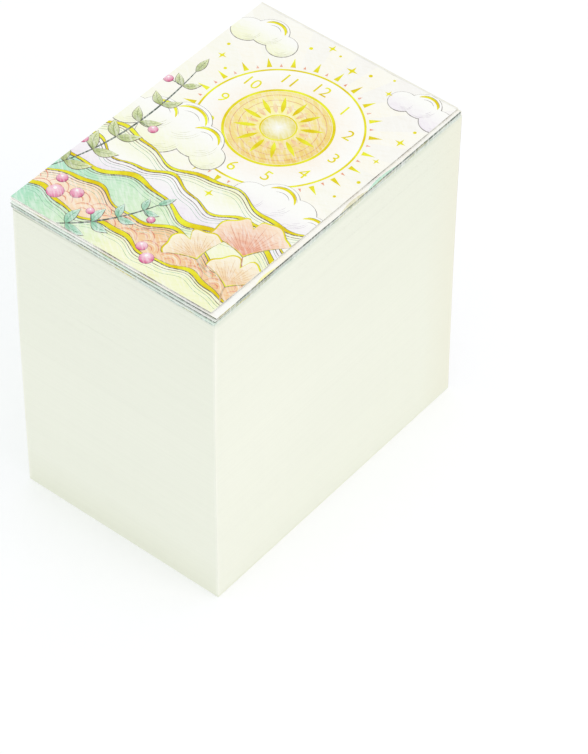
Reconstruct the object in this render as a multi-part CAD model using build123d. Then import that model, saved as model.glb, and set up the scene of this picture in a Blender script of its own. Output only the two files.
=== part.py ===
from build123d import *
import os

# A tear-off day calendar: a glue-bound block of single sheets that lies with its cover up.
# X runs across the page, +Y points to the glued edge, +Z is up.
# The origin is in the middle of the footprint, on the surface that the block lies on.

# Page and stock sizes, in millimetres
page_width = 67.5
page_length = 100.0
back_card_thickness = 1.0
day_sheet_thickness = 0.28
printed_sheet_thickness = 0.45
cover_thickness = 0.45
glue_film_thickness = 0.4

# Each printed sheet falls short of the sheet below it by this much at the front
sheet_step_front = 0.58

# The cover is cut smaller again, and a little out of square at the right
cover_step_front = 0.5
cover_short_right_at_front = 2.2
cover_short_right_at_glue = 1.15

# Day sheets in each month, the first month on top
days_in_month = {
    "january": 31,
    "february": 28,
    "march": 31,
    "april": 30,
    "may": 31,
    "june": 30,
    "july": 31,
    "august": 31,
    "september": 30,
    "october": 31,
    "november": 30,
    "december": 31,
}

# Sheets that are leaves of their own above the fixed block: the first day, then the printed ones
first_month = "january"
loose_day_names = ["first_day_sheet"]
printed_sheet_names = ["plan_sheet", "year_sheet", "title_sheet"]

# Faces of the block, which stands centred with its glue film
left_x = -page_width / 2
right_x = page_width / 2
spine_y = (page_length + glue_film_thickness) / 2
glued_edge_y = spine_y - glue_film_thickness
front_y = glued_edge_y - page_length


def cut_sheet(bottom, thickness, front_short=0.0, right_short_at_front=0.0, right_short_at_glue=0.0):
    """One flat sheet, flush at its left and glued edges and cut short at the front and right."""
    corners = [
        (left_x, glued_edge_y),
        (left_x, front_y + front_short),
        (right_x - right_short_at_front, front_y + front_short),
        (right_x - right_short_at_glue, glued_edge_y),
    ]
    outline = make_face(Polyline(*corners, close=True))
    return extrude(Plane.XY.offset(bottom) * outline, thickness)


def glue_film(bottom, height, right_short=0.0):
    """The film of padding glue over the glued edge, from one height up to another."""
    film = Box(
        page_width - right_short,
        glue_film_thickness,
        height,
        align=(Align.MIN, Align.MIN, Align.MIN),
    )
    return Pos(left_x, glued_edge_y, bottom) * film


def month_of_sheets(bottom, count):
    """A month's day sheets, each a solid of its own, lying one on another."""
    sheets = [cut_sheet(bottom + day * day_sheet_thickness, day_sheet_thickness) for day in range(count)]
    return Compound(children=sheets)


nodes = {}

# The fixed block, from the back card up: the last month lies at the bottom
nodes["back_card"] = cut_sheet(0.0, back_card_thickness)
block_top = back_card_thickness
for month in reversed(days_in_month):
    count = days_in_month[month]
    if month == first_month:
        count -= len(loose_day_names)
    nodes[month + "_sheets"] = month_of_sheets(block_top, count)
    block_top += count * day_sheet_thickness
nodes["spine_glue"] = glue_film(0.0, block_top)


def add_leaf(name, bottom, thickness, front_short=0.0, right_short_at_front=0.0, right_short_at_glue=0.0):
    """A leaf that turns and tears off: its sheet, and the line of glue film that it hangs on."""
    nodes[name] = cut_sheet(bottom, thickness, front_short, right_short_at_front, right_short_at_glue)
    nodes[name + "_glue"] = glue_film(bottom, thickness, right_short_at_glue)
    leaf_top = bottom + thickness
    print(f"{name} turns about the line y = {spine_y:.3f}, z = {leaf_top:.3f}")
    return leaf_top


# The leaves, from the first day sheet up to the cover
leaf_top = block_top
for name in loose_day_names:
    leaf_top = add_leaf(name, leaf_top, day_sheet_thickness)
for step, name in enumerate(printed_sheet_names):
    front_short = step * sheet_step_front
    leaf_top = add_leaf(name, leaf_top, printed_sheet_thickness, front_short)
leaf_top = add_leaf(
    "front_cover",
    leaf_top,
    cover_thickness,
    front_short + cover_step_front,
    cover_short_right_at_front,
    cover_short_right_at_glue,
)

os.makedirs("parts", exist_ok=True)
for node, shape in nodes.items():
    export_step(shape, f"parts/{node}.step")

print(f"{sum(days_in_month.values())} day sheets, {len(nodes)} nodes, {leaf_top:.2f} mm tall")
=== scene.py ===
import functools
import math
import random

import bpy
import numpy as np
from mathutils import Matrix, Vector, geometry, noise


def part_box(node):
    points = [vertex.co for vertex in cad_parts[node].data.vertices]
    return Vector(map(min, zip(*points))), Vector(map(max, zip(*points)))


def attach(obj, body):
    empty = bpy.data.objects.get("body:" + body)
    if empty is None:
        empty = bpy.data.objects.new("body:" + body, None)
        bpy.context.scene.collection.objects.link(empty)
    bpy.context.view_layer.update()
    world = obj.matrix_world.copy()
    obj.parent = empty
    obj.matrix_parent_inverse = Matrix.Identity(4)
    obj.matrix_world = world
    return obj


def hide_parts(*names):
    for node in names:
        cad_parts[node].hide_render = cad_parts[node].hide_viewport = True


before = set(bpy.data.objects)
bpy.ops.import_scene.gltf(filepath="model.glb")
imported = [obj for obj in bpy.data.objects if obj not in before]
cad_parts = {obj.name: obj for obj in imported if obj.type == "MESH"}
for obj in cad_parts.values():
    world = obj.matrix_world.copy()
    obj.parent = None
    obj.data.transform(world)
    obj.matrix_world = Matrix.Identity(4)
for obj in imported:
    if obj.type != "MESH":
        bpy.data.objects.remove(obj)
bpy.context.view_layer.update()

# A tear-off day calendar: the padded block becomes a pile for each month, and the five loose leaves
# on top become printed sheets. Page art is drawn in millimetres from a sheet's front left corner,
# u across the page and v from the front edge to the glued one.
MM = 0.001
scene = bpy.context.scene
block_low, december_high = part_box("december_sheets")
block_bottom, block_top = block_low.z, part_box("january_sheets")[1].z
half_width, half_length = december_high.x, -block_low.y
glued_edge = december_high.y
page_width, page_length = 2 * half_width / MM, (glued_edge + half_length) / MM
december_days = 31
sheet_pitch = (december_high.z - block_bottom) / december_days

# The soft block is bowed: its sheets lie this much further back at its bottom and top than half way up
bottom_lean, top_lean = 0.3 * MM, 0.6 * MM


def lean(z):
    share = (z - block_bottom) / (block_top - block_bottom)
    return (top_lean if share > 0.5 else bottom_lean) * (1 - math.sin(math.pi * share))


def put_in_scene(thing):
    scene.collection.objects.link(thing)
    return thing


def mesh_piece(name, points, faces, finish):
    mesh = bpy.data.meshes.new(name)
    mesh.from_pydata(points, [], faces)
    mesh.materials.append(finish)
    return put_in_scene(bpy.data.objects.new(name, mesh))


def stand_in(piece, node, body):
    """The piece takes a solid's place and moves with that body."""
    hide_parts(node)
    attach(piece, body)


# Colours


def ink(red, green, blue):
    """A colour given as it looks on a screen, from 0 to 255, as the light values that shaders use."""
    screen = np.array([red, green, blue]) / 255
    return np.where(screen <= 0.04045, screen / 12.92, ((screen + 0.055) / 1.055) ** 2.4)


PAPER_WHITE = ink(253, 253, 250)
DAY_PAPER = ink(244, 246, 232)
GLUE_SOAKED = ink(239, 238, 220)
# Paper fur and a painted highlight on the block's upright corners
CORNER_FUR_AND_HIGHLIGHT = ink(253, 253, 243)
CREAM = ink(252, 245, 222)
LILAC = ink(243, 236, 245)
PEACH_PALE = ink(253, 235, 210)
PEACH = ink(245, 206, 154)
CORAL = ink(234, 150, 116)
SUN_PALE = ink(254, 250, 186)
SUN_DEEP = ink(242, 212, 104)
LEMON_PALE = ink(247, 249, 212)
LIME_PALE = ink(236, 242, 198)
LEAF_GREEN = ink(168, 186, 106)
MINT_PALE = ink(224, 246, 232)
MINT = ink(176, 230, 202)
MINT_DEEP = ink(126, 198, 160)
PINK_PALE = ink(251, 214, 228)
MAGENTA = ink(222, 78, 146)
BROWN_LINE = ink(92, 66, 46)
GREY_LINE = ink(140, 134, 128)
GREEN_LINE = ink(58, 84, 66)
OLIVE = ink(150, 146, 62)
STRAW = ink(206, 196, 100)
YELLOW = ink(238, 226, 120)
EDGE_WHITE = ink(246, 246, 240)
EDGE_MINT = ink(214, 230, 218)
EDGE_FAINT = ink(230, 238, 226)
EDGE_GREY = ink(110, 106, 98)
EDGE_DARK = ink(30, 62, 44)

# What is laid in this one colour is stamped foil
GOLD = ink(240, 216, 40)

# Drawn outlines are heavier at their lower right, by this much in millimetres
PRESSED = np.array([0.07, -0.09])


def fade(first, last, start, end):
    """A wash that goes from one colour at a point to another at a second point."""
    run = np.subtract(end, start)

    def wash(at):
        share = np.clip((at - start) @ run / (run @ run), 0, 1)
        return first + share[:, None] * (last - first)

    return wash


def glow(centre, radius, inner, outer, power=1.6):
    """A wash that goes from one colour at a centre to another at that radius."""

    def wash(at):
        share = np.clip(np.linalg.norm(at - centre, axis=1) / radius, 0, 1) ** power
        return inner + share[:, None] * (outer - inner)

    return wash


def clouded(first, last, size, seed):
    """A wash that drifts between two colours in soft patches of that size."""

    def wash(at):
        share = [noise.noise(Vector((u / size, v / size, seed))) for u, v in at]
        return first + np.clip(0.5 + np.array(share), 0, 1)[:, None] * (last - first)

    return wash


# Outlines of what is printed


def heading(turn):
    """A step of length one in a direction, or one for each of several."""
    return np.stack([np.cos(turn), np.sin(turn)], axis=-1)


def circle(centre, radius, step=0.5):
    count = max(12, int(2 * math.pi * radius / step))
    return centre + radius * heading(np.linspace(0, 2 * math.pi, count, endpoint=False))


def arc(centre, radius, start, end, count=16):
    return centre + radius * heading(np.linspace(start, end, count))


def oblong(low_u, low_v, high_u, high_v):
    return [(low_u, low_v), (high_u, low_v), (high_u, high_v), (low_u, high_v)]


def curve(start, middle, end, count):
    """Points along a line from start to end that leans towards the middle point."""
    share = np.linspace(0, 1, count)[:, None]
    return (1 - share) ** 2 * start + 2 * share * (1 - share) * middle + share**2 * end


def stroke(path, width, ends):
    """The outline of a drawn line, full width in its middle and narrowed to that share at its ends."""
    along = np.gradient(path, axis=0)
    along /= np.linalg.norm(along, axis=1)[:, None]
    aside = along[:, ::-1] * (-1, 1)
    swell = np.sin(np.pi * np.linspace(0, 1, len(path)))
    half = aside * (width / 2 * (ends + (1 - ends) * np.sqrt(swell)))[:, None]
    return np.concatenate([path + half, (path - half)[::-1]])


def almond(base, tip, width, bend=0.0, count=13):
    """The outline of a leaf that is pointed at both ends."""
    along = np.subtract(tip, base)
    aside = along[::-1] * (-1, 1) / np.linalg.norm(along)
    share = np.linspace(0, 1, count)
    spine = base + share[:, None] * along + np.outer(bend * np.sin(np.pi * share), aside)
    half = np.outer(width / 2 * np.sin(np.pi * share**0.85), aside)
    return np.concatenate([spine + half, (spine - half)[-2:0:-1]])


def four_point_star(centre, radius):
    point = np.arange(8)
    reach = np.where(point % 2 == 0, radius, radius * 0.3)
    return centre + heading(point * math.pi / 4) * reach[:, None]


@functools.cache
def figure_loops(text):
    """Outlines of plain figures in the built-in font."""
    letters = bpy.data.curves.new("figures", "FONT")
    letters.body = text
    letters.fill_mode = "NONE"
    letters.resolution_u = 4
    holder = put_in_scene(bpy.data.objects.new("figures", letters))
    bpy.context.view_layer.update()
    wire = bpy.data.meshes.new_from_object(holder.evaluated_get(bpy.context.evaluated_depsgraph_get()))
    # The points of an outline follow one another, and its last edge goes back to its first point
    points = np.array([vertex.co.xy for vertex in wire.vertices])
    ends = sorted(sorted(edge.vertices) for edge in wire.edges)
    loops = [points[first : last + 1] for first, last in ends if last - first > 1]
    bpy.data.objects.remove(holder)
    bpy.data.meshes.remove(wire)
    bpy.data.curves.remove(letters)
    return loops


def reach_of(loops):
    """The lowest and the highest corner of the box round some loops."""
    points = np.concatenate(loops)
    return points.min(axis=0), points.max(axis=0)


def figures(text, height, centre):
    """Outlines of plain figures of that height, centred on a point."""
    loops = figure_loops(text)
    low, high = reach_of(loops)
    scale = height / (high[1] - low[1])
    return [(loop - (low + high) / 2) * scale + centre for loop in loops]


# Printed sheets


def inside(points, loops):
    """Which points lie inside the loops; a loop inside another is a hole."""
    odd = np.zeros(len(points), bool)
    for loop in loops:
        for (u0, v0), (u1, v1) in zip(loop, np.roll(loop, -1, axis=0)):
            if v0 == v1:
                continue
            crossed = (v0 > points[:, 1]) != (v1 > points[:, 1])
            odd ^= crossed & (points[:, 0] < (u1 - u0) * (points[:, 1] - v0) / (v1 - v0) + u0)
    return odd


# Points closer than the weld are one, and a sheet's sides and face have points a step apart
WELD, POINT_STEP = 1e-4, 1.5


def split(loops, extra):
    """Cuts the plane into triangles along the loops: points, triangles and where each given point went."""
    points, edges = [], []
    for loop in loops:
        first = len(points)
        points += [Vector(point) for point in loop]
        edges += [(first + index, first + (index + 1) % len(loop)) for index in range(len(loop))]
    points += [Vector(point) for point in extra]
    made, _, faces, origins, _, _ = geometry.delaunay_2d_cdt(points, edges, [], 0, WELD)
    went = {origin: index for index, group in enumerate(origins) for origin in group}
    made, faces = np.array(made), np.array(faces)
    a, b, c = made[faces].transpose(1, 0, 2)
    turned = (b[:, 0] - a[:, 0]) * (c[:, 1] - a[:, 1]) < (b[:, 1] - a[:, 1]) * (c[:, 0] - a[:, 0])
    faces[turned] = faces[turned][:, ::-1]
    return made, faces, went


def border_of(faces):
    """The points round the outside of a patch of triangles, in order."""
    sides = {side for triangle in faces for side in zip(triangle, np.roll(triangle, -1))}
    border = {start: end for start, end in sides if (end, start) not in sides}
    walk = [min(border)]
    while border[walk[-1]] != walk[0]:
        walk.append(border[walk[-1]])
    return walk


# How far a sheet is cut out of square: short at its front right corner, and out to the left and to the
# front at its front left corner, in millimetres
SQUARE = (0.0, 0.0, 0.0)

# The finishes of a sheet, in the order of its material slots
INKED, FOILED, UNPRINTED = 0, 1, 2


class Page:
    """What is printed on one sheet: shapes laid one over another."""

    def __init__(self, width, length, ground, cut):
        self.width, self.length, self.cut = width, length, cut
        past_edge = -2
        self.shapes = [([self.frame(past_edge, cut)], ground)]

    def frame(self, inset, cut=SQUARE):
        """A rectangle that far inside the sheet's edges, with its sides cut into short lengths."""
        right_short, left_out, front_out = cut
        corners = np.array(oblong(inset, inset, self.width - inset, self.length - inset), float)
        corners[0] -= (left_out, front_out)
        corners[1, 0] -= right_short
        sides = []
        for start, end in zip(corners, np.roll(corners, -1, axis=0)):
            count = max(2, int(np.linalg.norm(end - start) / POINT_STEP))
            sides.append(start + np.linspace(0, 1, count, endpoint=False)[:, None] * (end - start))
        return np.concatenate(sides)

    def lay(self, loops, wash):
        self.shapes.append((loops, wash))

    def line(self, path, width, wash, ends=0.25):
        self.lay([stroke(path, width, ends)], wash)

    def rule(self, start, end, width, count=14):
        self.line(np.linspace(start, end, count), width, GREY_LINE, ends=1.0)

    def disc(self, centre, radius, wash, step=0.5):
        self.lay([circle(centre, radius, step)], wash)

    def ring(self, centre, outer, inner, wash):
        self.lay([circle(centre, outer), circle(centre, inner)], wash)

    def border(self, inset, thick, wash):
        self.lay([self.frame(inset), self.frame(inset + thick)], wash)

    def print_on(self, points, faces, centres):
        """Each triangle's corner colours and finish, from the uppermost shape that it lies in."""
        uppermost = np.zeros(len(faces), np.int32)
        for number, (loops, _) in enumerate(self.shapes):
            low, high = reach_of(loops)
            near = np.nonzero(((centres >= low) & (centres <= high)).all(axis=1))[0]
            uppermost[near[inside(centres[near], loops)]] = number
        colours = np.ones((len(faces), 3, 4), np.float32)
        finishes = np.zeros(len(faces), np.int32)
        for number, (_, wash) in enumerate(self.shapes):
            own = np.nonzero(uppermost == number)[0]
            corners = points[faces[own]].reshape(-1, 2)
            colours[own, :, :3] = wash(corners).reshape(-1, 3, 3) if callable(wash) else wash
            finishes[own] = FOILED if wash is GOLD else INKED
        return colours.reshape(-1, 4), finishes

    def sheet(self, name, place, rim):
        """The printed sheet as a closed mesh. place puts a page point at a depth into the frame, and rim
        colours its cut edges."""
        first_point, clear_of_edge = 0.9, 0.5
        outline = self.frame(0.0, self.cut)
        us, vs = (np.arange(first_point, size, POINT_STEP) for size in (self.width, self.length))
        grid = np.stack(np.meshgrid(us, vs), axis=-1).reshape(-1, 2)
        grid = grid[inside(grid, [self.frame(clear_of_edge, self.cut)])]
        drawn = [loop for loops, _ in self.shapes[1:] for loop in loops]
        points, faces, _ = split([outline] + drawn, grid)
        centres = points[faces].mean(axis=1)
        kept = inside(centres, [outline])
        used, faces = np.unique(faces[kept], return_inverse=True)
        points, faces = points[used], faces.reshape(-1, 3)
        colours, finishes = self.print_on(points, faces, centres[kept])

        # The cut edge hangs below the print's border, and an underside with fewer points closes the sheet
        walk = border_of(faces)
        edge = points[walk]
        below, under_faces, went = split([edge], grid[::3])
        under_faces = under_faces[inside(below[under_faces].mean(axis=1), [edge])]
        shift = len(points)
        walls, wall_tones = [], []
        for index, start in enumerate(walk):
            following = (index + 1) % len(walk)
            walls.append((walk[following], start, shift + went[index], shift + went[following]))
            here, ahead = edge[index], edge[following]
            wall_tones += [rim(ahead, 0.0), rim(here, 0.0), rim(here, 1.0), rim(ahead, 1.0)]
        undersides = [tuple(shift + index for index in triangle[::-1]) for triangle in under_faces]

        mesh = bpy.data.meshes.new(name)
        corners = [place(u, v, 0.0) for u, v in points] + [place(u, v, 1.0) for u, v in below]
        mesh.from_pydata(corners, [], [tuple(face) for face in faces] + walls + undersides)
        slots = [finishes, np.full(len(walls), INKED), np.full(len(undersides), UNPRINTED)]
        mesh.polygons.foreach_set("material_index", np.concatenate(slots).astype(np.int32))
        tones = np.ones((len(mesh.loops), 4), np.float32)
        tones[: len(colours)] = colours
        tones[len(colours) : len(colours) + len(wall_tones), :3] = wall_tones
        mesh.color_attributes.new("print", "FLOAT_COLOR", "CORNER").data.foreach_set("color", tones.ravel())
        mesh.shade_smooth()
        mesh.set_sharp_from_angle(angle=math.radians(40))
        mesh.update()
        return put_in_scene(bpy.data.objects.new(name, mesh))


# Materials


class Wire:
    """A socket whose arithmetic adds the Math nodes that work it out."""

    def __init__(self, finish, socket):
        self.finish, self.socket = finish, socket

    def __add__(self, other):
        return self.finish.maths("ADD", self, other)

    __radd__ = __add__

    def __sub__(self, other):
        return self.finish.maths("SUBTRACT", self, other)

    def __rsub__(self, other):
        return self.finish.maths("SUBTRACT", other, self)

    def __mul__(self, other):
        return self.finish.maths("MULTIPLY", self, other)

    __rmul__ = __mul__


class Finish:
    """The node tree of one material, or of the world."""

    def __init__(self, owner):
        owner.use_nodes = True
        self.owner, self.tree = owner, owner.node_tree

    def node(self, kind, sockets, **settings):
        """Adds a shader node, makes its settings, then gives its sockets their values or links."""
        made = self.tree.nodes.new("ShaderNode" + kind)
        for name, value in settings.items():
            setattr(made, name, value)
        for name, value in sockets.items():
            self.feed(made.inputs[name], value)
        return made

    def wire(self, kind, sockets, output=0, **settings):
        return Wire(self, self.node(kind, sockets, **settings).outputs[output])

    def feed(self, socket, value):
        if isinstance(value, Wire):
            self.tree.links.new(value.socket, socket)
        elif socket.type == "RGBA" and len(value) == 3:
            socket.default_value = (*value, 1.0)
        else:
            socket.default_value = value

    def surface(self, **sockets):
        """Feeds the material's own shader, with spaces written as underscores."""
        shader = self.tree.nodes["Principled BSDF"]
        for name, value in sockets.items():
            self.feed(shader.inputs[name.replace("_", " ")], value)
        return self.owner

    def maths(self, operation, first, second=0.0, clamp=False):
        return self.wire("Math", {0: first, 1: second}, operation=operation, use_clamp=clamp)

    def place(self):
        """Where a point lies on its piece, in metres."""
        return self.wire("TexCoord", {}, "Object")

    def spots(self, stretch, detail=2.0, turned=0.0):
        """Noise from 0 to 1, with that many spots to a metre, turned by an angle about Z."""
        place = self.place()
        if turned:
            place = self.wire("VectorRotate", {"Vector": place, "Angle": turned}, rotation_type="Z_AXIS")
        scaled = self.wire("VectorMath", {0: place, 1: np.ones(3) * stretch}, operation="MULTIPLY")
        return self.wire("TexNoise", {"Vector": scaled, "Scale": 1.0, "Detail": detail}, "Fac")

    def grain(self):
        """The fine tooth of paper."""
        return self.spots(5200, 3.0)

    def between(self, value, low, high, first=0.0, last=1.0):
        """A value spread from low to high over first to last, and held there outside."""
        sockets = {"Value": value, "From Min": low, "From Max": high, "To Min": first, "To Max": last}
        return self.wire("MapRange", sockets)

    def mix(self, share, first, last, blend="MIX"):
        settings = {"data_type": "RGBA", "blend_type": blend, "clamp_factor": True}
        return self.wire("Mix", {0: share, 6: first, 7: last}, 2, **settings)

    def relief(self, height, depth):
        """A bump of that depth in metres."""
        return self.wire("Bump", {"Height": height, "Distance": depth})


def new_finish(name):
    return Finish(bpy.data.materials.new(name))


def day_paper():
    """The cut faces of the block: each sheet's edge a hair lighter or darker, darker towards the top, with
    painted shade towards the glue, at the foot of the front and under the leaves, and furred corners with a
    painted highlight.
    """
    paper = new_finish("day_paper")
    parts = paper.node("SeparateXYZ", {0: paper.place()})
    x, y, z = (Wire(paper, output) for output in parts.outputs)

    # How far back a point lay before the block bowed
    share = paper.between(z, block_bottom, block_top)
    swing = paper.maths("SINE", math.pi * share)
    y = y - paper.between(share, 0.49, 0.51, bottom_lean, top_lean) * (1 - swing)

    # Sheets, grain and the drag of the knife
    sheet_number = paper.maths("FLOOR", (z - block_bottom) * (1 / sheet_pitch))
    sheet_tone = paper.wire("TexWhiteNoise", {"W": sheet_number}, "Value", noise_dimensions="1D")
    knife_drag = paper.spots((420, 420, 9))
    grain = paper.grain()
    drift = paper.spots((22, 22, 30))
    shade = 0.3 * sheet_tone + 0.3 * grain + 0.15 * knife_drag + 0.25 * drift
    tone = paper.mix(shade, DAY_PAPER * 1.02, DAY_PAPER * 0.97)

    # Painted shade towards the glue, darker towards the top, and painted shade at the foot of the front
    glue_shade_from, top_darkening_from, foot_shade_height = -30 * MM, 50 * MM, 14 * MM
    by_glue = paper.between(y, glue_shade_from, glued_edge) * paper.between(z, 0.0, block_top, 0.2, 0.8)
    by_top = paper.between(z, top_darkening_from, block_top, 0.0, 0.35)
    tone = paper.mix(by_glue + by_top, tone, (0.938, 0.945, 0.93), "MULTIPLY")
    # Painted shade at the foot of the front face, darker towards the floor
    at_front = paper.between(y, -half_length, 0.5 * MM - half_length, 1.0, 0.0)
    tone = paper.mix(at_front * paper.between(z, foot_shade_height, 0.0), tone, (0.96, 0.96, 0.93), "MULTIPLY")

    # Shade under the leaves: a soft band at the right, and at the front a thread that sinks to the left
    band_height, thread_drop = 1.9 * MM, 0.5 * MM
    thread_top, thread_bottom, thread_blur = 0.5 * MM, 1.0 * MM, 0.1 * MM
    at_right = paper.between(x, half_width - 0.6 * MM, half_width - 0.2 * MM)
    band = at_right * paper.between(z, block_top - band_height, block_top)
    tone = paper.mix(band, tone, (0.86, 0.89, 0.87), "MULTIPLY")
    sunk = block_top - z - paper.between(x, -half_width, half_width, thread_drop, 0.0)
    thread = paper.between(sunk, thread_top, thread_top + thread_blur)
    thread = thread * paper.between(sunk, thread_bottom, thread_bottom + thread_blur, 1.0, 0.0)
    to_left = paper.between(x, -half_width, -0.35 * half_width, 1.0, 0.12)
    tone = paper.mix(at_front * thread * to_left, tone, (0.62, 0.67, 0.63), "MULTIPLY")

    # Glue soaked into the back, in a wandering line
    soak_start, soak_end, soak_wander = glued_edge - 10 * MM, glued_edge + 6 * MM, 6 * MM
    soaked = paper.between(y + soak_wander * drift, soak_start, soak_end, 0.0, 0.9)
    tone = paper.mix(soaked, tone, GLUE_SOAKED)

    # Upright corners, furred where they were handled, and lightened there as a painted highlight where the
    # corner catches light
    fur_and_highlight_width = 1.1 * MM
    off_sides = half_width - paper.maths("ABSOLUTE", x)
    off_ends = half_length - paper.maths("ABSOLUTE", y)
    handled_and_lit = paper.between(paper.spots((3, 3, 26)), 0.35, 0.6, 0.15, 0.75)
    fur_and_highlight = handled_and_lit * paper.between(off_sides + off_ends, 0.0, fur_and_highlight_width, 1.0, 0.0)
    tone = paper.mix(fur_and_highlight, tone, CORNER_FUR_AND_HIGHLIGHT)
    return paper.surface(
        Base_Color=tone,
        Roughness=0.82 + 0.12 * grain,
        Normal=paper.relief(0.4 * sheet_tone + 0.6 * grain, 0.02 * MM),
        Specular_IOR_Level=0.25,
    )


def back_board():
    """The white card under the block, with flecks of fibre."""
    board = new_finish("back_board")
    fibres = board.spots((1800, 700, 4200), 4.0)
    drift = board.spots((60, 60, 200))
    tone = board.mix(0.7 * fibres + 0.3 * drift, DAY_PAPER, DAY_PAPER * (0.92, 0.92, 0.88))
    bump = board.relief(fibres, 0.04 * MM)
    return board.surface(Base_Color=tone, Roughness=0.85 + 0.1 * fibres, Normal=bump, Specular_IOR_Level=0.2)


def padding_glue():
    """The brushed-on film of white padding glue, a little glossy, with the sheet edges showing through."""
    glue = new_finish("padding_glue")
    brush = glue.spots((35, 35, 1500), 3.0)
    sheet_lines = glue.spots((18, 18, 3600), 1.0)
    pools = glue.spots(160)
    tone = glue.mix(0.45 * brush + 0.25 * sheet_lines + 0.3 * pools, ink(250, 249, 242), ink(232, 229, 214))
    return glue.surface(
        Base_Color=tone,
        Roughness=0.28 + 0.25 * pools,
        Normal=glue.relief(0.6 * brush + 0.4 * sheet_lines, 0.08 * MM),
        Coat_Weight=0.15 * pools,
    )


def printed_ink(name, gloss):
    """Print of a drawing in washes and coloured pencil: strokes one way let paper through, strokes
    another way lay the colour on twice, and the washes pool."""
    art = new_finish(name)
    colour = art.wire("VertexColor", {}, "Color", layer_name="print")
    grain = art.grain()
    pools = art.between(art.spots(150, 3.0), 0.35, 0.7)
    gaps = art.between(art.spots((300, 1900, 300), 3.0, turned=0.65), 0.46, 0.66)
    strokes = art.between(art.spots((260, 1700, 260), 3.0, turned=-0.4), 0.48, 0.68)
    washed = art.mix(0.3 * pools + 0.45 * strokes, colour, colour, "MULTIPLY")
    tone = art.mix(0.36 * gaps + 0.22 * grain * grain, washed, PAPER_WHITE)
    return art.surface(
        Base_Color=tone,
        Roughness=gloss + 0.12 * grain,
        Normal=art.relief(0.6 * grain + 0.4 * gaps, 0.01 * MM),
        Specular_IOR_Level=0.35,
    )


def gold_foil():
    """Stamped foil, pressed a little into the card, with paler patches in its colour as painted sheen."""
    foil = new_finish("gold_foil")
    grain = foil.grain()
    patches = foil.between(foil.spots(170, 3.0), 0.35, 0.65)
    # Painted sheen: the foil's colour goes paler in patches, as where it would mirror the light
    tone = foil.mix(0.2 * grain + 0.8 * patches, ink(242, 248, 66), ink(225, 198, 8))
    return foil.surface(
        Base_Color=tone,
        Metallic=0.85 + 0.1 * patches,
        Roughness=0.3 + 0.2 * grain,
        Normal=foil.relief(0.5 * grain + 0.5 * patches, 0.03 * MM),
    )


def plain_underside():
    """The unprinted back of a leaf."""
    paper = new_finish("plain_underside")
    grain = paper.grain()
    drift = paper.spots(70)
    tone = paper.mix(0.5 * grain + 0.5 * drift, ink(252, 251, 246), ink(243, 242, 234))
    bump = paper.relief(grain, 0.02 * MM)
    return paper.surface(Base_Color=tone, Roughness=0.8 + 0.12 * grain, Normal=bump, Specular_IOR_Level=0.25)


# Motifs of the page art


def leaf_drawing(page, base, tip, width, pale, deep, bend=0.0):
    """An almond leaf: thin drawn outline, wash from stalk to tip, midrib and veins."""
    length = np.linalg.norm(tip - base)
    along = (tip - base) / length
    aside = along[::-1] * (-1, 1)
    page.lay([almond(base - 0.15 * along, tip + 0.25 * along, width + 0.3, bend) + PRESSED], BROWN_LINE)
    page.lay([almond(base, tip, width, bend)], fade(deep, pale, base, tip))
    middle = base + along * length / 2 + aside * bend * 2
    page.line(curve(base, middle, tip - along * length * 0.12, 9), 0.2, deep * 0.72)
    for share in (0.25, 0.42, 0.59):
        start = base + along * length * share + aside * bend * math.sin(math.pi * share)
        for way in (1, -1):
            reach = start + along * length * 0.16 + way * aside * width * 0.34
            page.line(curve(start, (start + reach) / 2 + along * 0.1, reach, 5), 0.11, deep * 0.82)


def berry(page, centre, radius):
    """A round berry with a dark outline, paler at its upper left, and a speck of light."""
    lit = centre + radius * np.array([-0.3, 0.35])
    page.disc(centre + PRESSED, radius + 0.13, MAGENTA * 0.45, 0.4)
    page.disc(centre, radius, glow(lit, radius * 1.3, PINK_PALE, MAGENTA), 0.4)
    page.disc(centre + radius * np.array([-0.32, 0.38]), radius * 0.22, PAPER_WHITE, 0.3)


def sprig(page, start, middle, end, pairs, size, pale, deep):
    """A bent twig with leaves in pairs, one at its tip, and a berry at every other pair."""
    last = 39
    stem = curve(start, middle, end, last + 1)
    page.line(stem, 0.55, GREEN_LINE, ends=0.4)
    for number in range(pairs):
        spot = int((number + 0.8) / (pairs + 0.3) * last)
        at = stem[spot]
        ahead = stem[min(last, spot + 2)] - stem[max(0, spot - 2)]
        facing = math.atan2(ahead[1], ahead[0])
        reach = size * (1 - 0.4 * number / pairs)
        for way in (1, -1):
            tip = at + reach * heading(facing + way * (0.85 + 0.1 * math.sin(3.1 * number + way)))
            leaf_drawing(page, at, tip, reach * 0.42, pale, deep, 0.08 * way * reach)
        if number % 2 == 1:
            fruit = at + 0.62 * size * heading(facing + (1.5 if number % 4 == 1 else -1.5))
            page.line(curve(at, (at + fruit) / 2, fruit, 5), 0.25, GREEN_LINE)
            berry(page, fruit, size * 0.17)
    ahead = stem[-1] - stem[-6]
    tip = stem[-1] + ahead / np.linalg.norm(ahead) * size * 0.8
    leaf_drawing(page, stem[-1], tip, size * 0.28, pale, deep)


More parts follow.
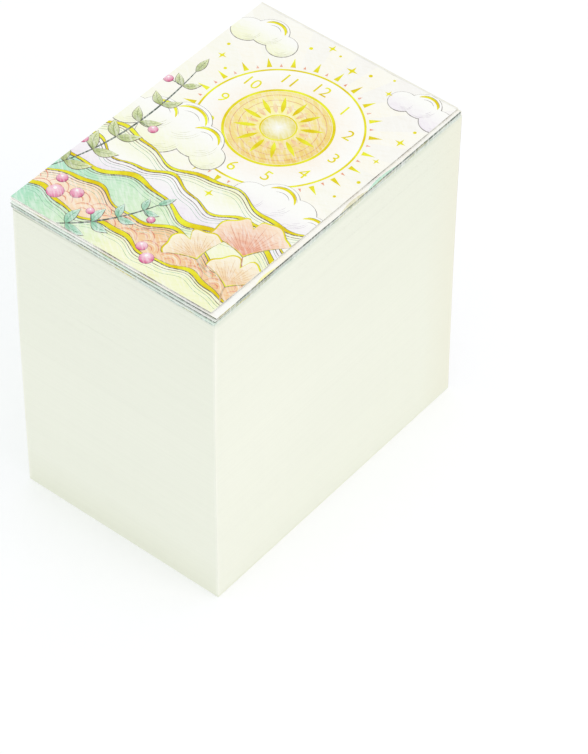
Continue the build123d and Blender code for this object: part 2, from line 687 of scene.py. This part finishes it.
def fan_leaf(page, stalk, facing, size, pale, deep):
    """A fan-shaped leaf with a notch in its wavy rim and fine pleats."""
    spread = np.linspace(-1.08, 1.08, 37)
    notch_at = len(spread) // 2

    def rim_reach(turn, grow=0.0):
        notch = 0.3 * np.exp(-((turn / 0.09) ** 2))
        return size * (1 - notch + 0.035 * np.sin(11 * turn + size)) * (1 - 0.12 * turn**2) + grow

    def outline(grow):
        rim = stalk + heading(facing + spread) * rim_reach(spread, grow)[:, None]
        inward = stalk - grow * heading(facing)
        first = curve(inward, (inward + rim[0]) / 2 + 0.16 * (rim[notch_at] - rim[0]), rim[0], 8)[:-1]
        last = curve(rim[-1], (inward + rim[-1]) / 2 + 0.16 * (rim[notch_at] - rim[-1]), inward, 8)[1:-1]
        return np.concatenate([first, rim, last])

    stalk_end = stalk - 0.62 * size * heading(facing + 0.3)
    page.line(curve(stalk_end, stalk - 0.3 * size * heading(facing), stalk, 9), 0.5, deep * 0.7)
    page.lay([outline(0.6) + PRESSED], BROWN_LINE)
    page.lay([outline(0.45)], GOLD)
    page.lay([outline(0.0)], glow(stalk, size, deep, pale, 0.9))
    for number, turn in enumerate(np.linspace(-0.95, 0.95, 15)):
        if abs(turn) < 0.05:
            continue
        way = heading(facing + turn)
        far = rim_reach(turn) * (0.9 if number % 2 else 0.7)
        page.line(np.linspace(stalk + way * size * 0.16, stalk + way * far, 7), 0.13, deep * 0.85)


def cloud(page, lobes, shade, gilded):
    """A cloud of round lobes in one thin outline, white above and shaded below, some with gilt arcs."""
    low = min(v - radius for _, v, radius in lobes)
    high = max(v + radius for _, v, radius in lobes)
    for u, v, radius in lobes:
        page.disc(PRESSED + (u, v), radius + 0.2, GREY_LINE)
    for u, v, radius in lobes:
        page.disc((u, v), radius, fade(shade, PAPER_WHITE, (0, low), (0, low + 0.62 * (high - low))))
    hatching = ((0.9, -1.5, -0.2), (0.8, -1.2, 0.0), (0.7, -1.35, -0.45), (0.58, -1.0, -0.3))
    for number, (u, v, radius) in enumerate(lobes):
        for share, start, end in hatching:
            swing = 0.25 * math.sin(2.3 * number + 9 * share)
            page.line(arc((u, v), share * radius, start + swing, end + swing), 0.13, shade * 0.72, ends=0.1)
    for number in gilded:
        u, v, radius = lobes[number]
        page.line(arc((u, v), 0.8 * radius, 0.35, 2.5), 0.9, GOLD, ends=0.1)
        page.line(arc((u, v), 0.88 * radius, 0.55, 2.2), 0.15, BROWN_LINE)
        page.line(arc((u, v), 0.55 * radius, 0.7, 2.2), 0.16, GREY_LINE)


def wave(page, level, swing, length, start, wash, gold_width):
    """A band of water from a wavy line down to the front edge, with a gilt crest and drawn ripples."""
    past_edge = 3
    us = np.linspace(-past_edge, page.width + past_edge, 90)
    ripple = np.sin(2 * math.pi * us / length + start) + 0.3 * np.sin(5.1 * math.pi * us / length)
    top = np.stack([us, level + swing * ripple], axis=1)
    page.lay([np.concatenate([top, [(page.width + past_edge, -past_edge), (-past_edge, -past_edge)]])], wash)
    rippled = MINT_DEEP * 0.8
    for drop, width, tone in ((1.5, 0.2, BROWN_LINE), (2.3, 0.12, rippled), (3.4, 0.1, rippled)):
        page.line(top - (0, drop), width, tone, ends=1.0)
    half_gilt = gold_width * (0.375 + 0.175 * np.sin(us / 4.1 + start))
    for grow, shift, tone in ((0.23, PRESSED, BROWN_LINE), (0.0, 0 * PRESSED, GOLD)):
        half = np.stack([0 * us, half_gilt + grow], axis=1)
        page.lay([np.concatenate([top + half, (top - half)[::-1]]) + shift], tone)


# The sheets' designs


def sun_dial(page, sun):
    """The sun as a dial of twelve plain figures, with rays round it."""
    dial, face, eye = 22.2, 14.0, 4.5
    page.ring(sun, dial + 0.7, dial + 0.1, GOLD)
    page.disc(sun, dial, glow(sun, dial, PEACH_PALE, PAPER_WHITE, 1.2))
    page.ring(sun, face + 0.9, face + 0.1, GOLD)
    page.disc(sun, face, glow(sun + (-3, 3), face + 3, SUN_PALE, SUN_DEEP, 1.3))
    for ring in (12.6, 10.6, 8.2):
        page.ring(sun, ring + 0.07, ring - 0.07, CORAL * 0.9)
    for number in range(24):
        way = heading(number * math.pi / 12)
        reach, wash = ((12.0, GOLD), (10.0, fade(CORAL, SUN_PALE, sun, sun + way * 13)))[number % 2]
        page.lay([almond(sun + way * 5.6, sun + way * reach, 1.3, count=9)], wash)
    page.ring(sun, eye + 0.5, eye + 0.1, GOLD)
    page.disc(sun, eye, glow(sun, eye, PAPER_WHITE, YELLOW))
    for hour in range(1, 13):
        page.lay(figures(str(hour), 3.7, sun + heading(math.pi / 2 - hour * math.pi / 6) * 18.5), GOLD)
    for number in range(48):
        way = heading(number * math.pi / 24)
        aside = way[::-1] * (-1, 1)
        painted = fade(CORAL, PEACH, sun + way * 23.5, sun + way * 27)
        reach, half, wash = ((27.4, 0.75, GOLD), (25.0, 0.4, painted))[number % 2]
        foot = sun + way * 23.7
        page.lay([np.array([foot + aside * half, sun + way * reach, foot - aside * half])], wash)


def cover_design(width, length, cut):
    """Sunrise over clouds and water, with leaves, twigs and berries in front."""
    page = Page(width, length, fade(ink(252, 252, 236), ink(249, 247, 245), (0, 40), (40, 110)), cut)
    sun = np.array([35.0, 63.0])

    # Pale beams behind everything, then the sun
    for number in range(0, 32, 2):
        first, last = sun + 75 * heading(np.array([number, number + 1]) * 2 * math.pi / 32 + 0.05)
        page.lay([np.array([sun, first, last])], glow(sun, 55, ink(252, 246, 226), PAPER_WHITE, 0.8))
    sun_dial(page, sun)

    # Clouds
    cloud(page, [(4, 88, 4.6), (9.5, 90.6, 5.2), (15.5, 88.2, 4.2)], LEMON_PALE, (1,))
    cloud(page, [(53.5, 91.5, 3.8), (59, 93.4, 4.8), (65, 90.8, 4.4)], LILAC, (1,))
    right_lobes = [(45.5, 38.5, 5), (52, 41.2, 6.2), (59, 40.2, 5.6), (65, 37.8, 5.4), (55.5, 36.4, 6)]
    cloud(page, right_lobes, LILAC, (1, 3))
    left_lobes = [(0.5, 44, 5.4), (7, 47.2, 6.4), (14.5, 49.2, 7.4)]
    left_lobes += [(22.5, 46, 6.4), (28, 42.6, 4.6), (13, 42, 7)]
    cloud(page, left_lobes, LEMON_PALE, (1, 2, 3))

    # Water, with scales on its fourth band
    wave(page, 36.2, 1.9, 34, 0.4, fade(LEMON_PALE, PAPER_WHITE, (0, 38), (0, 28)), 1.0)
    wave(page, 29.6, 2.1, 29, 2.2, fade(PAPER_WHITE, LILAC, (0, 31), (0, 22)), 0.85)
    wave(page, 23.2, 2.3, 36, 4.0, fade(MINT, LEMON_PALE, (0, 25), (50, 14)), 1.6)
    wave(page, 15.2, 1.9, 30, 5.4, fade(PEACH_PALE, PEACH, (0, 18), (40, 6)), 1.1)
    for row, level in enumerate((9.6, 7.0)):
        for number in range(10):
            centre = (number * 7.2 + 3.6 * row - 1.5, level)
            for ring, colour in ((3.1, CORAL), (2.2, PEACH_PALE), (1.3, CORAL)):
                page.line(arc(centre, ring, 0.15, math.pi - 0.15, 14), 0.3, colour * 0.96)
    wave(page, 6.4, 1.3, 25, 1.0, fade(MINT, LEMON_PALE, (0, 8), (30, 2)), 1.3)

    # Fan leaves, twigs and berries in front
    fan_leaf(page, (58.5, 20.5), 2.0, 13.5, PEACH_PALE, CORAL)
    fan_leaf(page, (50.0, 12.5), 2.5, 10.0, CREAM, PEACH)
    fan_leaf(page, (62.0, 9.5), 1.75, 10.5, CREAM, PEACH)
    sprig(page, (-1.5, 14), (9, 34), (4.5, 66), 6, 7.6, LIME_PALE, LEAF_GREEN)
    sprig(page, (12, -2), (24, 6), (30, 21), 4, 6.4, MINT_PALE, MINT_DEEP)
    berries = [(6.2, 8.4, 2.3), (11.0, 11.4, 1.8), (4.4, 13.2, 1.5), (36.4, 7.2, 1.5), (40.2, 4.6, 1.9)]
    for u, v, radius in berries:
        berry(page, (u, v), radius)

    # Gilt dots and stars in the sky
    dots = [(22, 92.5, 0.55), (30, 95, 0.4), (41, 94, 0.55), (47, 96.5, 0.4), (4, 80, 0.5)]
    dots += [(63.5, 84, 0.5), (64, 60, 0.55), (9.5, 72, 0.5), (62.5, 52, 0.45), (33, 37, 0.5)]
    for u, v, radius in dots:
        page.disc((u, v), radius, GOLD, 0.3)
    stars = [(26.5, 96, 1.5), (36, 92.4, 1.9), (49, 91.5, 1.3), (5.5, 75.5, 1.5)]
    stars += [(63, 78.5, 1.7), (62.6, 69, 1.2), (37, 32.6, 1.6)]
    for u, v, radius in stars:
        page.lay([four_point_star((u, v), radius)], GOLD)

    # The crease beside the glue, drawn as a grey line of painted shade
    crease_shade_at = length - 0.25
    crease_shade_tone = clouded(ink(212, 210, 202), PAPER_WHITE, 8, 4.0)
    page.line(np.linspace((0, crease_shade_at), (width, crease_shade_at), 40), 0.24, crease_shade_tone, ends=1.0)
    return page


def title_design(width, length, cut):
    """A wreath of leaves and berries on white, inside a thin double frame."""
    page = Page(width, length, clouded(PAPER_WHITE, ink(254, 250, 240), 9, 2.0), cut)

    # Tips of leaves and drawn lines run off the right edge; the two near-black lines are print that also
    # stands in as painted shade along that edge
    straw_tip, mint_tip = (STRAW + PAPER_WHITE) / 2, (MINT + MINT_PALE) / 2
    for start, end, tone in ((15, 25, SUN_PALE), (49, 61, straw_tip), (60, 73, mint_tip)):
        page.lay([almond((width, start), (width, end), 1.8)], tone)
    for start, end, thick, tone in ((8, 46, 0.32, OLIVE * 0.2), (64, 116, 0.4, MINT_DEEP * 0.2)):
        page.line(np.linspace((width, start), (width, end), 20), thick, tone)

    page.border(4.0, 0.35, MINT_DEEP)
    page.border(5.0, 0.18, GOLD)
    middle = np.array([width / 2, length * 0.54])
    page.ring(middle, 19.6, 19.1, GOLD)
    for number in range(26):
        turn = number * 2 * math.pi / 26
        at = middle + 20 * heading(turn)
        tip = at + 8.2 * heading(turn + math.pi / 2 + (0.75 if number % 2 else -0.75))
        tones = (MINT_PALE, MINT_DEEP) if number % 3 else (PEACH_PALE, CORAL)
        leaf_drawing(page, at, tip, 3.2, *tones)
        if number % 4 == 0:
            berry(page, at, 1.4)
    page.lay([four_point_star(middle, 4.2)], GOLD)
    page.ring(middle, 8.4, 8.1, CORAL)
    return page


def year_design(width, length, cut):
    """Twelve small months in plain figures and dots, inside a dark green line."""
    page = Page(width, length, clouded(MINT_PALE, PAPER_WHITE, 14, 5.0), cut)
    page.lay([page.frame(3.2)], PAPER_WHITE)
    page.border(3.8, 0.25, GREEN_LINE)
    for month, days in enumerate((31, 28, 31, 30, 31, 30, 31, 31, 30, 31, 30, 31)):
        corner = np.array([7.0 + 19.2 * (month % 3), 76.0 - 22.4 * (month // 3)])
        tone = (CORAL, MINT_DEEP * 0.8, MAGENTA)[month % 3]
        page.lay(figures(str(month + 1), 3.6, corner + (2.4, 14.4)), tone)
        page.rule(corner + (0, 11.6), corner + (15.6, 11.6), 0.2, 8)
        for day in range(days):
            at = corner + (0.8 + 2.33 * (day % 7), 9.6 - 2.2 * (day // 7))
            page.disc(at, 0.42, tone if day % 7 == 6 else GREY_LINE * 0.8, 0.44)
    return page


def plan_design(width, length, cut):
    """Ruled lines with a tick box each, under a plain band."""
    page = Page(width, length, clouded(MINT_PALE, PAPER_WHITE, 10, 8.0), cut)
    page.lay([page.frame(3.0)], PAPER_WHITE)
    page.border(3.6, 0.3, MINT_DEEP)
    page.lay([np.array(oblong(8, 82, width - 8, 91))], fade(PEACH, PEACH_PALE, (8, 86), (width - 8, 86)))
    for number in range(14):
        level = 75.0 - 4.9 * number
        box = np.array(oblong(8.5, level, 10.7, level + 2.2))
        page.lay([box, box + (box.mean(axis=0) - box) * 0.2], MINT_DEEP * 0.8)
        page.rule((13, level), (width - 8, level), 0.18)
    return page


def day_design(number):
    """A day sheet: one large plain figure, a row of seven dots and a few lines to write on."""

    def design(width, length, cut):
        page = Page(width, length, clouded(PAPER_WHITE, ink(250, 249, 240), 12, number), cut)
        page.lay(figures(str(number), 34, (width / 2, 62)), fade(CORAL, PEACH, (0, 46), (0, 80)))
        for day in range(7):
            at = (width / 2 + 6.4 * (day - 3), 36.5)
            hole = [] if day == (number - 1) % 7 else [circle(at, 1.15)]
            page.lay([circle(at, 1.5)] + hole, MINT_DEEP)
        for line in range(4):
            level = 26.0 - 5.4 * line
            page.rule((9, level), (width - 9, level), 0.18)
        sprig(page, (7, 96), (14, 90), (24, 90.5), 3, 5.0, MINT_PALE, MINT_DEEP)
        page.ring((width - 9, 92), 2.6, 2.2, CORAL)
        return page

    return design


# Along a leaf's cut edges some stretches are warmer: the middle, reach and strength of each, in
# millimetres from the left along the front and from the front along the sides
WARM_AT_FRONT = [(36, 9, 1.0)]
WARM_AT_SIDES = [(3, 9, 1.0), (55, 5, 1.35)]


def cut_edge(pale, dark, warm, front, side, seed):
    """The colour along a leaf's cut edge, where its full-bleed print shows in dark and coloured stretches,
    with painted shade of the gap under the leaf deepening the dark:
    the share of dark from left to right at the front, and that from front to back at the sides."""
    front_depth, patch, speck = 0.5, 7, 2.1

    def rim(at, depth):
        u, v = at
        drift = noise.noise(Vector((u / patch, v / patch, seed)))
        fleck = noise.noise(Vector((u / speck, v / speck, seed + 9)))
        at_front = v < front_depth
        along, whole = (u, page_width) if at_front else (v, page_length)
        first, last = front if at_front else side
        flecked = 0.6 if at_front else 0.3
        darkness = np.clip(first + (last - first) * along / whole + flecked * fleck + 0.4 * drift, 0, 1)
        # Painted shade of the gap under the leaf: the dark deepens towards the foot of the edge
        tone = pale + (dark - pale) * darkness * (0.75 + 0.25 * depth)
        warmth = 1.6 * drift - 0.35
        for middle, reach, strength in WARM_AT_FRONT if at_front else WARM_AT_SIDES:
            warmth += 0.8 * strength * math.exp(-(((along - middle) / reach) ** 2))
        return tone + (warm - tone) * np.clip(warmth, 0, 0.75)

    return rim


# The loose leaves, from the first day sheet up. A leaf is a little thinner than its place in the pile,
# so that it lies loose at the front with a thread of shade under it, and it stops a hair short of its glue.
loose_card_share = 0.84
glue_gap = 0.01
cover_ink = printed_ink("cover_print", 0.42)
page_ink = printed_ink("page_print", 0.55)
foil = gold_foil()
underside = plain_underside()


def printed_sheet(name, low, high, design, art, rim, card_share=1.0, curl=0.0, cut=SQUARE):
    """A printed sheet in the box between two corners, lying loose at its front if it doesn't fill the
    box, and lifted by the curl at its front right corner."""
    width, length, pitch = (high - low) / MM

    def place(u, v, depth):
        loose = min(1.0, max(0.0, 1 - v / length))
        corner = (u / width) ** 3 * loose**2
        gap = pitch * (1 - card_share) * min(1.0, 3 * loose)
        height = pitch * card_share * (1 - depth) + gap + curl * corner
        return (low.x + u * MM, low.y + v * (1 - glue_gap / length) * MM, low.z + height * MM)

    sheet = design(width, length, cut).sheet(name, place, rim)
    for finish in (art, foil, underside):
        sheet.data.materials.append(finish)
    return sheet


def loose_leaf(node, body, design, art, rim, curl=0.0, cut=SQUARE):
    name = body + "_sheet"
    leaf = printed_sheet(name, *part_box(node), design, art, rim, loose_card_share, curl, cut)
    stand_in(leaf, node, body)


first_day_rim = cut_edge(EDGE_FAINT, EDGE_GREY, CREAM, (0.6, -0.1), (0.15, 0.1), 1.0)
loose_leaf("first_day_sheet", "first_day_leaf", day_design(1), page_ink, first_day_rim)

plan_rim = cut_edge(EDGE_MINT, EDGE_DARK, YELLOW, (0.4, 0.2), (0.25, 0.1), 2.0)
loose_leaf("plan_sheet", "plan_leaf", plan_design, page_ink, plan_rim)

year_rim = cut_edge(EDGE_WHITE, EDGE_DARK, OLIVE, (0.7, 0.75), (0.42, 0.3), 3.0)
year_cut = (0.0, 0.38, 0.31)
loose_leaf("year_sheet", "year_leaf", year_design, page_ink, year_rim, 0.12, year_cut)

title_rim = cut_edge(EDGE_WHITE, EDGE_DARK, STRAW, (0.0, 1.3), (1.5, 1.1), 4.0)
title_cut = (0.0, 0.95, 0.31)
loose_leaf("title_sheet", "title_leaf", title_design, page_ink, title_rim, 0.35, title_cut)

cover_rim = cut_edge(EDGE_WHITE, EDGE_GREY, BROWN_LINE, (0.1, 0.6), (0.3, 0.45), 6.0)
cover_cut = (1.05, 1.14, 0.33)
loose_leaf("front_cover", "cover_leaf", cover_design, cover_ink, cover_rim, 0.38, cover_cut)

# The block: a month's sheets are one pile, in which no two edges are quite flush
most_inset = 0.03 * MM


def sheet_pile(name, low, high, count, finish):
    """A pile of cut sheets as one closed skin, unrolled side by side on its own map."""
    chance = random.Random(name)
    pitch = (high.z - low.z) / count
    points = []
    for number in range(count):
        inset = [chance.uniform(0, most_inset) for _ in range(6)]
        back = lean(low.z + (number + 0.5) * pitch)
        outline = [
            (low.x + inset[0], low.y + inset[1] + back),
            (high.x - inset[2], low.y + inset[3] + back),
            (high.x - inset[4], high.y + back),
            (low.x + inset[5], high.y + back),
        ]
        for level in (number, number + 1):
            points += [(x, y, low.z + level * pitch) for x, y in outline]

    # On the map the four sides are strips, one above another, then the bottom and the top
    side_step, side_height, margin = 0.2, 0.19, 0.005
    caps_from, caps_to = 0.82, 0.98
    wall_share, ledge_share = 3, 1
    reach = (wall_share + ledge_share) * count
    faces, unrolled = [(3, 2, 1, 0)], [oblong(0.02, caps_from, 0.3, caps_to)]
    rings = 2 * count
    for ring in range(rings - 1):
        start = (ring // 2) * (wall_share + ledge_share) + (ring % 2) * wall_share
        end = start + (ledge_share if ring % 2 else wall_share)
        for side in range(4):
            here, ahead = 4 * ring + side, 4 * ring + (side + 1) % 4
            faces.append((here, ahead, ahead + 4, here + 4))
            foot = side_step * side + margin
            low_v, high_v = (foot + side_height * share / reach for share in (start, end))
            unrolled.append(oblong(margin, low_v, 1 - margin, high_v))
    last = 4 * (rings - 1)
    faces.append((last, last + 1, last + 2, last + 3))
    unrolled.append(oblong(0.4, caps_from, 0.68, caps_to))
    pile = mesh_piece(name, points, faces, finish)
    spread = pile.data.uv_layers.new(name="OFBake")
    spread.data.foreach_set("uv", np.array(unrolled, np.float32).ravel())
    return pile


def glue_coat(name, low, high, finish):
    """The film of glue over the block's back edge, with the brush's ridges, thin at its borders."""
    across, upward = 60, 170
    ridge_length, ridge_width, thin_border = 30, 1.1, 0.9
    pool_width, pool_height, pool_seed = 6, 7, 7
    film = (high.y - low.y) / MM
    points = []
    for z in np.linspace(low.z, high.z, upward):
        for x in np.linspace(low.x, high.x, across):
            ridge = 0.5 + 0.5 * noise.noise(Vector((x / MM / ridge_length, 0, z / MM / ridge_width)))
            pool = 0.5 + 0.5 * noise.noise(Vector((x / MM / pool_width, pool_seed, z / MM / pool_height)))
            to_border = min(x - low.x, high.x - x, z - low.z, high.z - z) / MM
            sunk = film * (0.28 * ridge + 0.2 * pool + 0.4 * math.exp(-to_border / thin_border))
            points.append((x, high.y + lean(z) - sunk * MM, z))
    grid = np.arange(len(points)).reshape(upward, across)
    faces = [(at + 1, at, at + across, at + across + 1) for at in grid[:-1, :-1].ravel().tolist()]
    border = np.concatenate([grid[0], grid[1:, -1], grid[-1, -2::-1], grid[-2:0:-1, 0]]).tolist()
    first_inner = len(points)
    points += [(points[index][0], low.y + lean(points[index][2]), points[index][2]) for index in border]
    count = len(border)
    for index, corner in enumerate(border):
        following = (index + 1) % count
        faces.append((corner, border[following], first_inner + following, first_inner + index))
    faces.append(tuple(first_inner + index for index in range(count)))
    coat = mesh_piece(name, points, faces, finish)
    coat.data.shade_smooth()
    coat.data.set_sharp_from_angle(angle=math.radians(50))
    return coat


def second_day(low, high):
    """The day under the first leaf, which shows when that is torn off."""
    back = Vector((0, lean(block_top), 0))
    rim = cut_edge(EDGE_FAINT, EDGE_GREY, DAY_PAPER, (0.45, -0.15), (0.15, 0.1), 5.0)
    sheet = printed_sheet("second_day_sheet", low + back, high + back, day_design(2), page_ink, rim)
    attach(sheet, "block")


paper, board, glue = day_paper(), back_board(), padding_glue()
for name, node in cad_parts.items():
    if name.endswith("_sheets"):
        low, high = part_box(name)
        if name == "january_sheets":
            below = high.z - sheet_pitch
            second_day(Vector((low.x, low.y, below)), high)
            high = Vector((high.x, high.y, below))
        count = round((high.z - low.z) / sheet_pitch)
        pile = sheet_pile(name.replace("_sheets", "_pile"), low, high, count, paper)
        stand_in(pile, name, "block")
    elif name == "spine_glue":
        stand_in(glue_coat("spine_glue_coat", *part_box(name), glue), name, "block")
    elif name == "back_card":
        stand_in(sheet_pile("back_card_board", *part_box(name), 1, board), name, "block")
    elif name.endswith("_glue"):
        for holder in node.material_slots:
            holder.material = glue


# Floor, light and camera


def by_view(finish, cast, seen):
    """One shader for light on the object, another for what the camera sees, also in gloss and glass."""
    path = finish.node("LightPath", {}).outputs
    rays = ("Is Camera Ray", "Is Glossy Ray", "Is Transmission Ray")
    straight, gloss, glass = (Wire(finish, path[ray]) for ray in rays)
    share = finish.maths("ADD", straight + gloss, glass, clamp=True)
    return finish.wire("MixShader", {0: share, 1: cast, 2: seen})


def table_top():
    """White paper sweep: lit like the object, and raised to full white where nothing shades it."""
    sweep = new_finish("paper_sweep")
    sweep.surface(Base_Color=(0.955, 0.96, 0.985), Roughness=0.9, Specular_IOR_Level=0.0)
    unlit = sweep.wire("Emission", {"Color": (1, 1, 1), "Strength": 0.0})
    lift = sweep.wire("Emission", {"Color": (0.94, 0.95, 1.0), "Strength": 0.07})
    base = Wire(sweep, sweep.tree.nodes["Principled BSDF"].outputs[0])
    total = sweep.wire("AddShader", {0: base, 1: by_view(sweep, unlit, lift)})
    sweep.feed(sweep.tree.nodes["Material Output"].inputs["Surface"], total)
    return sweep.owner


table_half = 4.0
corners = [(x, y, 0) for x, y in oblong(-table_half, -table_half, table_half, table_half)]
mesh_piece("table_top", corners, [(0, 1, 2, 3)], table_top())

world = bpy.data.worlds.new("studio")
scene.world = world
studio = Finish(world)
ambient = studio.wire("Background", {"Color": (0.985, 1.0, 0.995), "Strength": 0.96})
backdrop = studio.wire("Background", {"Color": (1, 1, 1), "Strength": 1.0})
studio.feed(studio.tree.nodes["World Output"].inputs["Surface"], by_view(studio, ambient, backdrop))

# One warm softbox at the right, aimed at the middle of the block
lamp = bpy.data.lights.new("key_softbox", "AREA")
lamp.shape = "DISK"
lamp.size = 0.7
lamp.energy = 1.27
lamp.color = (1.0, 0.82, 0.81)
key = put_in_scene(bpy.data.objects.new("key_softbox", lamp))
lamp_aim = Vector((0, 0, 0.05))
key.location = (0.9, 0.1, 0.85)
key.rotation_mode = "QUATERNION"
key.rotation_quaternion = (lamp_aim - key.location).to_track_quat("-Z", "Y")

# The camera stands above the front right corner, with a long lens
focal_pixels, picture_width, sensor_width = 3823.6, 588, 36
azimuth, elevation, roll = (math.radians(angle) for angle in (38.967, 46.212, 0.41))
distance, aim_height, aim_right, aim_up = 1.0223, 0.0525, 0.01443, -0.02089
level = math.cos(elevation)
back = Vector((math.sin(azimuth) * level, -math.cos(azimuth) * level, math.sin(elevation)))
level_right = Vector((0, 0, 1)).cross(back).normalized()
level_up = back.cross(level_right)
right = math.cos(roll) * level_right + math.sin(roll) * level_up
up = math.cos(roll) * level_up - math.sin(roll) * level_right
optics = bpy.data.cameras.new("camera")
optics.sensor_fit = "HORIZONTAL"
optics.sensor_width = sensor_width
optics.lens = focal_pixels * sensor_width / picture_width
optics.clip_end = 20
camera = put_in_scene(bpy.data.objects.new("camera", optics))
aim = Vector((0, 0, aim_height)) + aim_right * right + aim_up * up
turn = Matrix((right, up, back)).transposed().to_4x4()
camera.matrix_world = Matrix.Translation(aim + back * distance) @ turn
scene.camera = camera
scene.view_settings.view_transform = "Standard"
